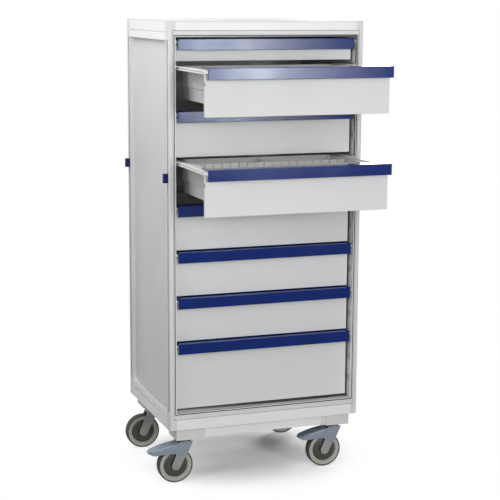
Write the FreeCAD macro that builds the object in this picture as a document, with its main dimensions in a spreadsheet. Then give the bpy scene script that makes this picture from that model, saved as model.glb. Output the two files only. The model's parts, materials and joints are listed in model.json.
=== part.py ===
"""Drawer trolley on four swivel casters, in millimetres.

The frame has +X to the right, +Y to the back and +Z up. The origin is on the floor, under the
middle of the carcass. Drawers 2 and 4 stand pulled out to their stops, the others are closed.
"""
import FreeCAD, Part
import math
import os
import Sketcher
from FreeCAD import Vector

SIZES = (
    # carcass
    ("cabinet_width", 700, "over the corner posts"),
    ("cabinet_depth", 530, "over the corner posts"),
    ("body_height", 1400, "underside of the carcass to the top of the lid"),
    ("lid_thickness", 3, "top cover sheet"),
    ("post_width", 24, "corner post, across the front"),
    ("post_depth", 40, "corner post, front to back"),
    ("post_face", 14, "narrow front face of a post, beside the rebate"),
    ("corner_radius", 5, "rounded outer corner of posts, connectors and lid"),
    ("profile_wall", 3, "wall of the hollow extrusions"),
    ("rebate_depth", 12, "rebate that holds the bezel and the back panel"),
    ("slot_mouth", 16, "accessory slot, mouth"),
    ("slot_inside", 22, "accessory slot, behind its lips"),
    ("slot_depth", 9, "accessory slot, from the outer face"),
    ("slot_lip", 3, "thickness of the slot's lips"),
    ("rail_height", 61, "bottom rails, side rails and corner connectors"),
    ("header_height", 50, "front and back rails at the top"),
    ("sill_face", 37, "bottom rail's face below the bezel"),
    ("header_face", 28, "top rail's face above the bezel"),
    ("bezel_groove", 1, "joint round the bezel"),
    ("bead_width", 3, "bead along the bezel's inner edge"),
    ("bead_groove_width", 3, "groove beside the bead"),
    ("bead_groove_depth", 5, "groove beside the bead"),
    ("side_groove_width", 5, "groove along the side rails"),
    ("side_groove_depth", 4, "groove along the side rails"),
    ("side_groove_level", 33, "from the rail's outer edge to the groove"),
    ("panel_recess", 13, "side panels, behind the posts' outer faces"),
    ("panel_thickness", 3, "side and back panels"),
    ("floor_thickness", 4, "floor panel"),
    ("floor_drop", 3, "floor panel, below the sill"),
    # base
    ("plinth_height", 40, "plinth rails and corner blocks"),
    ("plinth_side_inset", 25, "corner blocks, from the carcass side"),
    ("plinth_front_inset", 10, "corner blocks, from the carcass front and back"),
    ("block_size", 88, "square corner block"),
    ("collar_length", 18, "stepped collar between a block and a rail"),
    ("collar_recess", 3, "collar, behind the block's face"),
    ("collar_rise", 2, "collar's underside, above the block's"),
    ("plinth_rail_rise", 4, "plinth rail's underside, above the block's"),
    ("plinth_recess", 6, "plinth rail, behind the block's face"),
    ("plinth_rail_width", 30, "plinth rail, front to back"),
    # drawers
    ("top_gap", 6, "above the first drawer"),
    ("sill_gap", 8, "under the last drawer"),
    ("front_gap", 3.5, "between a drawer front and the grip below it"),
    ("shallow_front_gap", 7, "between the front of drawer 1 and the grip below it"),
    ("shallow_module", 81, "from the top of drawer 1 to the next drawer's top"),
    ("standard_module", 159, "from the tops of drawers 2 to 7 to the next drawer's top"),
    ("drawer_opening", 320, "travel of a drawer"),
    ("grip_height", 37.5, "grip strip, front leg"),
    ("grip_wall", 3, "grip strip, both legs"),
    ("grip_tongue_depth", 67, "tongues at the ends of the grip strip"),
    ("grip_tongue_width", 12, "tongues at the ends of the grip strip"),
    ("front_side_step", 1, "drawer front's ends, inside the grip's ends"),
    ("front_sheet", 2, "sheet of the drawer front"),
    ("front_setback", 30, "drawer front's panel, behind the grip's face"),
    ("front_return", 16, "folded edges of the drawer front"),
    ("front_chamfer", 8, "cut corner of the front's folded side edges"),
    ("grip_lip", 8, "folded lower edge of the grip strip"),
    ("release_slot_setback", 6, "slot in the folded side edge, behind the panel's face"),
    ("release_slot_width", 8, "slot in the folded side edge"),
    ("release_slot_height", 12, "slot in the folded side edge"),
    ("release_slot_drop", 47, "slot, below the grip's top"),
    # runners
    ("rail_rear_gap", 44, "from a closed drawer's rail to the carcass back"),
    ("rail_side_gap", 6, "from a drawer rail to the track's web"),
    ("rail_top_drop", 9, "drawer rail's top, below the grip's top"),
    ("rail_bar_height", 12, "drawer rail, grooved bar"),
    ("rail_bar_width", 14, "drawer rail, grooved bar"),
    ("rail_ledge_width", 23, "drawer rail, ledge under the tray's rim"),
    ("rail_ledge_thickness", 3, "drawer rail, ledge"),
    ("rail_groove_depth", 8, "drawer rail, groove for the track's tongue"),
    ("runner_play", 0.3, "clearance above and below the tongue"),
    ("tongue_thickness", 2.4, "track's tongue"),
    ("tongue_end_play", 1, "from the tongue's edge to the groove's floor"),
    ("track_web", 2, "track, upright web"),
    ("track_height", 24, "track, upright web"),
    ("track_front_setback", 6, "track's web, behind the carcass front"),
    ("tongue_front_setback", 50, "track's tongue, behind the carcass front"),
    ("track_rear_setback", 14, "track, from the carcass back"),
    ("stop_radius", 4, "white stop at the front of a track"),
    ("stop_width", 5.5, "white stop at the front of a track"),
    ("stop_rise", 5, "white stop, above the track's middle"),
    ("lug_height", 9, "rail's lug that reaches forward to the grip"),
    ("lug_width", 12, "rail's lug that reaches forward to the grip"),
    ("lug_inset", 1, "lug, from the rail's outer face"),
    # trays
    ("tray_side_play", 4, "from the tray's rim to a drawer rail's bar"),
    ("tray_depth", 400, "over the rim"),
    ("tray_front_gap", 4, "behind the drawer front"),
    ("rim_thickness", 6, "tray rim"),
    ("rim_width", 23, "tray rim, beyond the upper wall"),
    ("tray_step", 6, "lower wall, inside the upper wall"),
    ("tray_wall", 3, "tray wall and floor"),
    ("tray_corner", 24, "rounded upright corners of the upper wall"),
    ("tray_draft", 1.5, "draft of the walls, in degrees"),
    ("shallow_tray_height", 60, "tray in drawer 1"),
    ("standard_tray_height", 112, "trays in drawers 2 to 7"),
    ("deep_tray_clearance", 13, "tray in drawer 8, above the lower edge of its front"),
    ("tray_step_height", 45, "lower wall's height"),
    ("shallow_step_height", 24, "lower wall's height in drawer 1"),
    ("divider_thickness", 3, "tray dividers"),
    ("divider_drop", 7, "lengthwise divider, below the tray's top"),
    ("comb_offset", 70, "front comb, in front of the tray's middle"),
    ("comb_pitch", 93, "from the front comb to the back comb"),
    ("comb_slot_pitch", 30, "slots of a comb"),
    ("comb_slot_width", 5, "slots of a comb"),
    ("comb_slot_depth", 26, "slots of a comb"),
    ("comb_drop", 1, "combs, below the tray's top"),
    # clips
    ("clip_level", 862, "clip, above the carcass underside"),
    ("clip_height", 31, "clip"),
    ("clip_reach", 16, "clip, beyond the post"),
    ("clip_play", 0.2, "clip in its slot, each side"),
    # casters
    ("wheel_diameter", 125, "over the tyre"),
    ("tyre_width", 32, "tread"),
    ("tyre_shoulder", 5, "rounded edge of the tread"),
    ("tyre_root_radius", 50, "inner radius of the tyre"),
    ("tyre_root_width", 22, "tyre between the rim's flanges"),
    ("flange_radius", 57.5, "rim flanges"),
    ("flange_width", 30, "over the rim flanges"),
    ("cover_radius", 43, "hub cover"),
    ("cover_width", 25, "over the hub covers"),
    ("hub_radius", 12, "hub boss"),
    ("caster_trail", 38, "from the swivel axis back to the axle"),
    ("axle_radius", 5, "axle"),
    ("axle_play", 0.08, "wheel on its axle, radial"),
    ("fork_inside", 37, "between the fork's legs"),
    ("fork_leg", 4, "thickness of a leg"),
    ("fork_end_radius", 16, "rounded end of a leg"),
    ("fork_head_half", 20, "leg's top, half its length"),
    ("fork_clearance", 9.5, "from the tread to the fork's bridge"),
    ("fork_bridge_height", 8, "fork's bridge"),
    ("head_radius", 22, "swivel head"),
    ("head_height", 12.7, "swivel head, above the fork's bridge"),
    ("head_play", 0.3, "swivel head, below its plate"),
    ("plate_radius", 27, "bearing plate under a corner block"),
    ("plate_thickness", 4.5, "bearing plate under a corner block"),
    ("stem_radius", 6, "swivel stem"),
    ("stem_length", 13, "swivel stem, below its plate"),
    ("stem_play", 0.08, "swivel head on its stem, radial"),
    # brake pedals
    ("pedal_play", 0.3, "pedal cheek, beside the fork's leg"),
    ("pedal_cheek", 4, "thickness of a cheek"),
    ("pedal_web", 4, "thickness of the pedal's back"),
    ("pedal_tip_reach", 99, "pedal tip, from the axle"),
    ("pedal_tip_level", 54, "pedal tip, above the axle"),
    ("pedal_tip_thickness", 4, "pedal tip"),
    ("pedal_tip_width", 18, "pedal tip"),
    ("pedal_toe_reach", 87, "corners of the toe, from the axle"),
    ("pedal_toe_level", 46, "lower edge at the toe's corners, above the axle"),
    ("pedal_toe_width", 46, "over the toe's corners"),
    ("pedal_toe_floor", 43, "lower edge at the solid toe's inner end, above the axle"),
    ("pedal_toe_end", 72, "solid toe's inner end, from the axle"),
    ("pedal_waist", 60, "where the toe's taper begins, from the axle"),
    ("pedal_back_end", 5, "where the pedal's back ends beside the swivel head, from the axle"),
    ("pedal_back_level", 81, "where the pedal's back ends, above the axle"),
    ("pedal_ear_start", 12, "where the ears' level top begins, from the axle"),
    ("pedal_top_rise", 7, "top of the pedal's ears, above the fork's bridge"),
    ("pedal_back_radius", 400, "curved back of the pedal"),
    ("pedal_back_round", 6, "rounded edges of the pedal's back"),
    ("pedal_belly_level", 46, "cheek's lower edge beside the wheel, above the axle"),
    ("pedal_belly_end", 6, "where that edge drops towards the fork, from the axle"),
    ("pedal_foot_level", 37, "cheek's lower edge beside the fork, above the axle"),
    ("pedal_foot_reach", 2, "cheek's lower edge beside the fork, from the axle"),
    ("pedal_heel_reach", 60, "pedal's heel at the top, from the axle"),
    ("pedal_heel_foot", 41, "pedal's heel at the bottom, from the axle"),
    ("pedal_pin_reach", 20, "pedal pin, from the axle"),
    ("pedal_pin_level", 62, "pedal pin, above the axle"),
    ("pedal_pin_radius", 4, "pedal pin"),
    ("pedal_pin_play", 0.08, "pedal on its pin, radial"),
    ("pedal_pin_depth", 2.5, "pedal pin, into each cheek"),
)
STANDARD_DRAWERS = 6
DRAWER_COUNT = STANDARD_DRAWERS + 2
OPEN_DRAWERS = (2, 4)
OUT_DIR = "parts"


class Size:
    """A number together with the spreadsheet expression that it comes from."""

    def __init__(self, number, text):
        self.number = number
        self.text = text

    def __add__(self, other):
        other = as_size(other)
        return Size(self.number + other.number, "(%s + %s)" % (self.text, other.text))

    def __sub__(self, other):
        other = as_size(other)
        return Size(self.number - other.number, "(%s - %s)" % (self.text, other.text))

    def __mul__(self, other):
        other = as_size(other)
        return Size(self.number * other.number, "%s * %s" % (self.text, other.text))

    def __truediv__(self, other):
        other = as_size(other)
        return Size(self.number / other.number, "%s / %s" % (self.text, other.text))

    def __neg__(self):
        return Size(-self.number, "(0 - %s)" % self.text)


def as_size(value):
    if isinstance(value, Size):
        return value
    return Size(value, repr(value))


def tangent_of(angle):
    """The tangent of a size in degrees."""
    return Size(math.tan(math.radians(angle.number)), "tan(%s * 1deg)" % angle.text)


class Sheet:
    """The driving sizes: cells of the spreadsheet, each read by its alias."""

    def __init__(self, document, rows):
        self.cells = document.addObject("Spreadsheet::Sheet", "sizes")
        for row, (alias, value, note) in enumerate(rows, start=1):
            self.cells.set("A%d" % row, alias)
            self.cells.set("B%d" % row, str(value))
            self.cells.set("C%d" % row, note)
            self.cells.setAlias("B%d" % row, alias)
            setattr(self, alias, Size(value, "sizes.%s" % alias))


os.makedirs(OUT_DIR, exist_ok=True)
doc = FreeCAD.newDocument("drawer_trolley")
s = Sheet(doc, SIZES)
doc.recompute()
nodes = []

X_AXIS = Vector(1, 0, 0)
Y_AXIS = Vector(0, 1, 0)


# ---------------------------------------------------------------- drawing and building helpers

def new_body(label, x=0, y=0, z=0):
    body = doc.addObject("PartDesign::Body", label)
    for axis, value in (("x", x), ("y", y), ("z", z)):
        if isinstance(value, Size):
            body.setExpression("Placement.Base.%s" % axis, value.text)
    return body


def new_sketch(body, role, offset=None):
    """A sketch on one of the body's own planes, moved along the plane's normal."""
    plane = [feature for feature in body.Origin.OriginFeatures if feature.Role == role][0]
    sketch = body.newObject("Sketcher::SketchObject", body.Name + "_sketch")
    sketch.AttachmentSupport = [(plane, "")]
    sketch.MapMode = "FlatFace"
    if offset is not None:
        sketch.setExpression("AttachmentOffset.Base.z", offset.text)
    return sketch


def bind(sketch, constraint, value):
    index = sketch.addConstraint(constraint)
    sketch.setExpression("Constraints[%d]" % index, value.text)


def fix_point(sketch, geometry, point, x, y):
    """Place a point by its two coordinates, where a plain 0 means on the axis."""
    for axis, kind, value in ((-2, "DistanceX", x), (-1, "DistanceY", y)):
        if isinstance(value, Size):
            bind(sketch, Sketcher.Constraint(kind, -1, 1, geometry, point, value.number), value)
        else:
            sketch.addConstraint(Sketcher.Constraint("PointOnObject", geometry, point, axis))


def number_of(value):
    return as_size(value).number


def draw_polygon(sketch, corners):
    first = sketch.GeometryCount
    count = len(corners)
    spots = [Vector(number_of(x), number_of(y), 0) for x, y in corners]
    for index in range(count):
        line = Part.LineSegment(spots[index], spots[(index + 1) % count])
        sketch.addGeometry(line, False)
    for index in range(count):
        follower = first + (index + 1) % count
        sketch.addConstraint(Sketcher.Constraint("Coincident", first + index, 2, follower, 1))
    for index, (x, y) in enumerate(corners):
        fix_point(sketch, first + index, 1, x, y)


def draw_rectangle(sketch, x_low, x_high, y_low, y_high):
    draw_polygon(sketch, ((x_low, y_low), (x_high, y_low), (x_high, y_high), (x_low, y_high)))


def draw_circle(sketch, x, y, radius):
    centre = Vector(number_of(x), number_of(y), 0)
    circle = sketch.addGeometry(Part.Circle(centre, Vector(0, 0, 1), radius.number), False)
    bind(sketch, Sketcher.Constraint("Radius", circle, radius.number), radius)
    if isinstance(x, Size) or isinstance(y, Size):
        fix_point(sketch, circle, 3, x, y)
    else:
        sketch.addConstraint(Sketcher.Constraint("Coincident", circle, 3, -1, 1))


def draw_rounded_rectangle(sketch, half_x, half_y, radius):
    """A rectangle centred on the origin, with four equal tangent corners."""
    hx = half_x.number
    hy = half_y.number
    r = radius.number
    sides = (((r - hx, -hy), (hx - r, -hy)), ((hx, r - hy), (hx, hy - r)),
             ((hx - r, hy), (r - hx, hy)), ((-hx, hy - r), (-hx, r - hy)))
    for start, end in sides:
        sketch.addGeometry(Part.LineSegment(Vector(*start, 0), Vector(*end, 0)), False)
    centres = ((hx - r, r - hy), (hx - r, hy - r), (r - hx, hy - r), (r - hx, r - hy))
    for quarter, (x, y) in enumerate(centres):
        turn = math.pi / 2 * (quarter - 1)
        circle = Part.Circle(Vector(x, y, 0), Vector(0, 0, 1), r)
        sketch.addGeometry(Part.ArcOfCircle(circle, turn, turn + math.pi / 2), False)
    for side in range(4):
        arc = 4 + side
        following = (side + 1) % 4
        sketch.addConstraint(Sketcher.Constraint("Tangent", side, 2, arc, 1))
        sketch.addConstraint(Sketcher.Constraint("Tangent", arc, 2, following, 1))
    for arc in (5, 6, 7):
        sketch.addConstraint(Sketcher.Constraint("Equal", 4, arc))
    for side in (0, 2):
        sketch.addConstraint(Sketcher.Constraint("Horizontal", side))
    for side in (1, 3):
        sketch.addConstraint(Sketcher.Constraint("Vertical", side))
    bind(sketch, Sketcher.Constraint("Radius", 4, r), radius)
    bind(sketch, Sketcher.Constraint("DistanceY", -1, 1, 0, 1, -hy), -half_y)
    bind(sketch, Sketcher.Constraint("DistanceX", -1, 1, 1, 1, hx), half_x)
    bind(sketch, Sketcher.Constraint("DistanceY", -1, 1, 2, 1, hy), half_y)
    bind(sketch, Sketcher.Constraint("DistanceX", -1, 1, 3, 1, -hx), -half_x)


def pad(body, sketch, length, midplane=False, backwards=False, draft=None):
    feature = body.newObject("PartDesign::Pad", body.Name + "_pad")
    feature.Profile = sketch
    feature.setExpression("Length", length.text)
    feature.Midplane = midplane
    feature.Reversed = backwards
    if draft is not None:
        feature.setExpression("TaperAngle", draft.text)
    return feature


def pocket(body, sketch, length, midplane=False, backwards=False, draft=None):
    """Cut a sketch into the body, and make sure that it did cut."""
    doc.recompute()
    before = body.Shape.Volume
    feature = body.newObject("PartDesign::Pocket", body.Name + "_pocket")
    feature.Profile = sketch
    feature.setExpression("Length", length.text)
    feature.Midplane = midplane
    feature.Reversed = backwards
    if draft is not None:
        feature.setExpression("TaperAngle", draft.text)
    doc.recompute()
    if not body.Shape.Volume < before:
        raise RuntimeError("%s: a pocket cuts nothing" % body.Label)
    return feature


def fillet(body, feature, radius, chosen):
    """Round the edges of a feature for which chosen(edge) is true."""
    doc.recompute()
    names = ["Edge%d" % (index + 1)
             for index, edge in enumerate(feature.Shape.Edges) if chosen(edge)]
    rounding = body.newObject("PartDesign::Fillet", body.Name + "_fillet")
    rounding.Base = (feature, names)
    rounding.setExpression("Radius", radius.text)
    return rounding


def is_upright(edge):
    """True for a straight edge that runs along Z."""
    if len(edge.Vertexes) != 2:
        return False
    low, high = (vertex.Point for vertex in edge.Vertexes)
    return math.hypot(high.x - low.x, high.y - low.y) < 1e-6


def upright_edge_at(x, y):
    """A test for the upright edge that stands at (x, y)."""
    def chosen(edge):
        spot = edge.Vertexes[0].Point
        return is_upright(edge) and math.hypot(spot.x - x.number, spot.y - y.number) < 1e-3
    return chosen


def mirrored(source, normal):
    image = doc.addObject("Part::Mirroring", source.Name + "_mirrored")
    image.Source = source
    image.Normal = normal
    return image


def to_both_sides(bodies):
    return list(bodies) + [mirrored(body, X_AXIS) for body in bodies]


def to_all_corners(bodies):
    halves = to_both_sides(bodies)
    return halves + [mirrored(half, Y_AXIS) for half in halves]


def node(label, members):
    """Name a finished piece, or a set of like pieces, as one sub-part."""
    if len(members) == 1:
        piece = members[0]
    else:
        piece = doc.addObject("Part::Compound", label)
        piece.Links = members
    piece.Label = label
    nodes.append(piece)
    return piece


# ---------------------------------------------------------------- places that pieces share

half_width = s.cabinet_width / 2
half_depth = s.cabinet_depth / 2
axle_z = s.wheel_diameter / 2
bridge_bottom = axle_z + s.fork_clearance
bridge_top = bridge_bottom + s.fork_bridge_height
head_top = bridge_top + s.head_height
plinth_bottom = axle_z + head_top + s.head_play + s.plate_thickness
carcass_bottom = plinth_bottom + s.plinth_height
frame_top = carcass_bottom + s.body_height - s.lid_thickness
post_inner_x = half_width - s.post_width
post_inner_y = half_depth - s.post_depth
rebate_floor = half_depth - s.rebate_depth
rebate_edge_x = half_width - s.post_face
sill_top = carcass_bottom + s.rail_height
sill_step = carcass_bottom + s.sill_face
header_bottom = frame_top - s.header_height
header_step = frame_top - s.header_face
slot_y = half_depth - s.post_depth / 2
web_x = post_inner_x - s.track_web
rail_outer_x = web_x - s.rail_side_gap
front_end_x = rail_outer_x - s.front_side_step
tray_half_x = rail_outer_x - s.rail_bar_width - s.tray_side_play
rail_length = s.cabinet_depth - s.front_setback - s.front_return - s.rail_rear_gap


# ---------------------------------------------------------------- carcass

def make_corner_posts():
    """Four upright extrusions: an outer T slot, a rebate and a closed chamber."""
    body = new_body("post")
    bottom = carcass_bottom + s.rail_height
    sketch = new_sketch(body, "XY_Plane", bottom)
    mouth = s.slot_mouth / 2
    inside = s.slot_inside / 2
    lip_x = half_width - s.slot_lip
    slot_floor_x = half_width - s.slot_depth
    draw_polygon(sketch, (
        (half_width, half_depth),
        (rebate_edge_x, half_depth),
        (rebate_edge_x, rebate_floor),
        (post_inner_x, rebate_floor),
        (post_inner_x, post_inner_y),
        (half_width, post_inner_y),
        (half_width, slot_y - mouth),
        (lip_x, slot_y - mouth),
        (lip_x, slot_y - inside),
        (slot_floor_x, slot_y - inside),
        (slot_floor_x, slot_y + inside),
        (lip_x, slot_y + inside),
        (lip_x, slot_y + mouth),
        (half_width, slot_y + mouth)))
    draw_rectangle(sketch, post_inner_x + s.profile_wall, slot_floor_x - s.profile_wall,
                   post_inner_y + s.profile_wall, rebate_floor - s.profile_wall)
    shaft = pad(body, sketch, frame_top - s.rail_height - bottom)
    fillet(body, shaft, s.corner_radius, upright_edge_at(half_width, half_depth))
    node("corner_posts", to_all_corners([body]))


def make_connector(name, bottom, step, top, full_first):
    """A corner casting, cut away in front of the rebate between step and its inner end."""
    body = new_body(name)
    stages = ((bottom, step), (step, top))
    for stage, (low, high) in enumerate(stages):
        sketch = new_sketch(body, "XY_Plane", low)
        if (stage == 0) == full_first:
            draw_rectangle(sketch, post_inner_x, half_width, post_inner_y, half_depth)
        else:
            draw_polygon(sketch, (
                (half_width, half_depth), (rebate_edge_x, half_depth),
                (rebate_edge_x, rebate_floor), (post_inner_x, rebate_floor),
                (post_inner_x, post_inner_y), (half_width, post_inner_y)))
        casting = pad(body, sketch, high - low)
    fillet(body, casting, s.corner_radius, upright_edge_at(half_width, half_depth))
    return body


def make_corner_connectors():
    """Eight castings that join the posts to the rails."""
    low = make_connector("connector_low", carcass_bottom, sill_step, sill_top, True)
    high = make_connector("connector_high", frame_top - s.rail_height, header_step, frame_top, False)
    node("corner_connectors", to_all_corners([low, high]))


def make_cross_rail(name, outer, step, inner):
    """A hollow rail across the back, rebated between step and inner; outer is its free edge."""
    body = new_body(name)
    sketch = new_sketch(body, "YZ_Plane")
    draw_polygon(sketch, (
        (half_depth, outer), (half_depth, step), (rebate_floor, step),
        (rebate_floor, inner), (post_inner_y, inner), (post_inner_y, outer)))
    wall = s.profile_wall
    if outer.number > inner.number:
        wall = -wall
    draw_rectangle(sketch, post_inner_y + s.profile_wall, rebate_floor - s.profile_wall,
                   outer + wall, inner - wall)
    pad(body, sketch, post_inner_x * 2, midplane=True)
    return body


def make_side_rail(name, outer, inner, groove):
    """A hollow rail along the right side, with one groove in its outer face."""
    body = new_body(name)
    sketch = new_sketch(body, "XZ_Plane")
    wall = s.profile_wall
    width = s.side_groove_width
    if outer.number > inner.number:
        wall = -wall
        width = -width
    groove_x = half_width - s.side_groove_depth
    draw_polygon(sketch, (
        (half_width, outer), (half_width, groove), (groove_x, groove),
        (groove_x, groove + width), (half_width, groove + width), (half_width, inner),
        (post_inner_x, inner), (post_inner_x, outer)))
    draw_rectangle(sketch, post_inner_x + s.profile_wall, groove_x - s.profile_wall,
                   outer + wall, inner - wall)
    pad(body, sketch, post_inner_y * 2, midplane=True)
    return body


def make_frame_rails():
    """Four rails at the bottom and four at the top, between the connectors."""
    sill = make_cross_rail("sill", carcass_bottom, sill_step, sill_top)
    header = make_cross_rail("header", frame_top, header_step, header_bottom)
    low = make_side_rail("side_rail_low", carcass_bottom, sill_top,
                         carcass_bottom + s.side_groove_level)
    high = make_side_rail("side_rail_high", frame_top, frame_top - s.rail_height,
                          frame_top - s.side_groove_level)
    across = [sill, header] + [mirrored(rail, Y_AXIS) for rail in (sill, header)]
    node("frame_rails", across + to_both_sides([low, high]))


def make_panels():
    """Side panels, back panel, floor and lid."""
    side = new_body("side_panel")
    sketch = new_sketch(side, "YZ_Plane", half_width - s.panel_recess - s.panel_thickness)
    draw_rectangle(sketch, -post_inner_y, post_inner_y, sill_top, frame_top - s.rail_height)
    pad(side, sketch, s.panel_thickness)
    node("side_panels", to_both_sides([side]))

    back = new_body("back_panel")
    sketch = new_sketch(back, "XZ_Plane", -(rebate_floor + s.panel_thickness))
    edge = rebate_edge_x - s.bezel_groove
    draw_rectangle(sketch, -edge, edge, sill_step + s.bezel_groove, header_step - s.bezel_groove)
    pad(back, sketch, s.panel_thickness)
    node("back_panel", [back])

    floor = new_body("floor_panel")
    sketch = new_sketch(floor, "XY_Plane", sill_top - s.floor_drop - s.floor_thickness)
    draw_rectangle(sketch, -post_inner_x, post_inner_x, -post_inner_y, post_inner_y)
    pad(floor, sketch, s.floor_thickness)
    node("floor_panel", [floor])

    lid = new_body("top_cover")
    sketch = new_sketch(lid, "XY_Plane", frame_top)
    draw_rounded_rectangle(sketch, half_width, half_depth, s.corner_radius)
    pad(lid, sketch, s.lid_thickness)
    node("top_cover", [lid])


def make_front_bezel():
    """Four mitred lips round the drawer opening, each with a grooved bead on its inner edge."""
    outer_x = rebate_edge_x - s.bezel_groove
    outer_low = sill_step + s.bezel_groove
    outer_high = header_step - s.bezel_groove
    lips = (
        ("lip_sill", ((-outer_x, outer_low), (outer_x, outer_low),
                      (post_inner_x, sill_top), (-post_inner_x, sill_top))),
        ("lip_header", ((-post_inner_x, header_bottom), (post_inner_x, header_bottom),
                        (outer_x, outer_high), (-outer_x, outer_high))),
        ("lip_left", ((-outer_x, outer_low), (-post_inner_x, sill_top),
                      (-post_inner_x, header_bottom), (-outer_x, outer_high))),
        ("lip_right", ((post_inner_x, sill_top), (outer_x, outer_low),
                       (outer_x, outer_high), (post_inner_x, header_bottom))))
    members = []
    for name, corners in lips:
        body = new_body(name)
        sketch = new_sketch(body, "XZ_Plane", rebate_floor)
        draw_polygon(sketch, corners)
        pad(body, sketch, s.rebate_depth)
        sketch = new_sketch(body, "XZ_Plane", half_depth)
        for reach in (s.bead_width, s.bead_width + s.bead_groove_width):
            draw_rectangle(sketch, -(post_inner_x + reach), post_inner_x + reach,
                           sill_top - reach, header_bottom + reach)
        pocket(body, sketch, s.bead_groove_depth)
        members.append(body)
    node("front_bezel", members)


def make_accessory_clips():
    """Four clips, each with a foot that sits behind the lips of a post's slot."""
    body = new_body("clip")
    sketch = new_sketch(body, "XY_Plane", carcass_bottom + s.clip_level)
    neck = s.slot_mouth / 2 - s.clip_play
    foot = s.slot_inside / 2 - s.clip_play
    lip_x = half_width - s.slot_lip
    foot_x = half_width - s.slot_depth + s.clip_play
    tip_x = half_width + s.clip_reach
    draw_polygon(sketch, (
        (foot_x, slot_y - foot), (lip_x, slot_y - foot), (lip_x, slot_y - neck),
        (tip_x, slot_y - neck), (tip_x, slot_y + neck), (lip_x, slot_y + neck),
        (lip_x, slot_y + foot), (foot_x, slot_y + foot)))
    block = pad(body, sketch, s.clip_height)

    def at_the_tip(edge):
        return is_upright(edge) and abs(edge.Vertexes[0].Point.x - tip_x.number) < 1e-3
    fillet(body, block, s.slot_lip, at_the_tip)
    node("accessory_clips", to_all_corners([body]))


# ---------------------------------------------------------------- base

def make_plinth():
    """Corner blocks with their bearing plates and stems, and the rails between them."""
    block_x = half_width - s.plinth_side_inset
    block_y = half_depth - s.plinth_front_inset
    inner_x = block_x - s.block_size
    inner_y = block_y - s.block_size
    collar_x = inner_x - s.collar_length
    collar_y = inner_y - s.collar_length

    rail_back = s.plinth_recess + s.plinth_rail_width

    block = new_body("corner_block")
    sketch = new_sketch(block, "XY_Plane", plinth_bottom)
    draw_rectangle(sketch, inner_x, block_x, inner_y, block_y)
    cube = pad(block, sketch, s.plinth_height)
    fillet(block, cube, s.collar_recess, upright_edge_at(block_x, block_y))
    sketch = new_sketch(block, "XY_Plane", plinth_bottom + s.collar_rise)
    draw_rectangle(sketch, collar_x, inner_x, block_y - rail_back, block_y - s.collar_recess)
    draw_rectangle(sketch, block_x - rail_back, block_x - s.collar_recess, collar_y, inner_y)
    pad(block, sketch, s.plinth_height - s.collar_rise)
    for radius, reach in ((s.plate_radius, s.plate_thickness),
                          (s.stem_radius, s.plate_thickness + s.stem_length)):
        sketch = new_sketch(block, "XY_Plane", plinth_bottom)
        draw_circle(sketch, stem_x, stem_y, radius)
        pad(block, sketch, reach, backwards=True)
    node("caster_blocks", to_all_corners([block]))

    across = new_body("plinth_rail_across")
    sketch = new_sketch(across, "YZ_Plane")
    face = block_y - s.plinth_recess
    draw_hollow_section(sketch, face - s.plinth_rail_width, face)
    pad(across, sketch, collar_x * 2, midplane=True)

    along = new_body("plinth_rail_along")
    sketch = new_sketch(along, "XZ_Plane")
    face = block_x - s.plinth_recess
    draw_hollow_section(sketch, face - s.plinth_rail_width, face)
    pad(along, sketch, collar_y * 2, midplane=True)
    node("plinth_rails", [across, mirrored(across, Y_AXIS)] + to_both_sides([along]))


def draw_hollow_section(sketch, low, high):
    """A box section that hangs from the carcass."""
    wall = s.profile_wall
    bottom = plinth_bottom + s.plinth_rail_rise
    draw_rectangle(sketch, low, high, bottom, carcass_bottom)
    draw_rectangle(sketch, low + wall, high - wall, bottom + wall, carcass_bottom - wall)


# ---------------------------------------------------------------- drawers

def module_tops():
    """The level of each drawer's top, from drawer 1 down, and each front's height."""
    level = header_bottom - s.top_gap
    modules = []
    for number in range(1, DRAWER_COUNT):
        module = s.shallow_module if number == 1 else s.standard_module
        gap = s.shallow_front_gap if number == 1 else s.front_gap
        modules.append((level, module, module - gap))
        level = level - module
    deep_module = level - sill_top - s.sill_gap
    modules.append((level, deep_module, deep_module))
    return modules


def make_runner_tracks():
    """A track for each drawer, and spare ones half a module lower that stay empty."""
    tongue_drop = s.rail_top_drop + s.rail_bar_height / 2
    half_module = s.standard_module / 2
    levels = []
    for number, (top, module, front) in enumerate(module_tops(), start=1):
        levels.append((top - tongue_drop, True))
        if number > 1:
            levels.append((top - half_module - tongue_drop, False))
    levels.append((top - s.standard_module - tongue_drop, False))
    tracks = [make_track(level, used) for level, used in levels]
    node("runner_tracks", to_both_sides(tracks))


def make_track(level, used):
    """The right-hand track at a level: a web on the posts, and a tongue for the drawer rail."""
    body = new_body("track", z=level)
    back = half_depth - s.track_rear_setback
    tongue_x = rail_outer_x - s.rail_groove_depth + s.tongue_end_play
    half_height = s.track_height / 2
    half_tongue = s.tongue_thickness / 2
    sketch = new_sketch(body, "XZ_Plane", -back)
    draw_rectangle(sketch, web_x, post_inner_x, -half_height, half_height)
    pad(body, sketch, back + half_depth - s.track_front_setback)
    sketch = new_sketch(body, "XZ_Plane", -back)
    draw_rectangle(sketch, tongue_x, web_x, -half_tongue, half_tongue)
    pad(body, sketch, back + half_depth - s.tongue_front_setback)
    if used:
        sketch = new_sketch(body, "YZ_Plane", web_x)
        draw_circle(sketch, s.track_front_setback + s.stop_radius - half_depth, s.stop_rise,
                    s.stop_radius)
        pad(body, sketch, s.stop_width, backwards=True)
    return body


def place_of_drawer(number, top):
    """A drawer's own frame stands at its grip's top front edge."""
    front = -half_depth
    if number in OPEN_DRAWERS:
        front = front - s.drawer_opening
    return front, top


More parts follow.
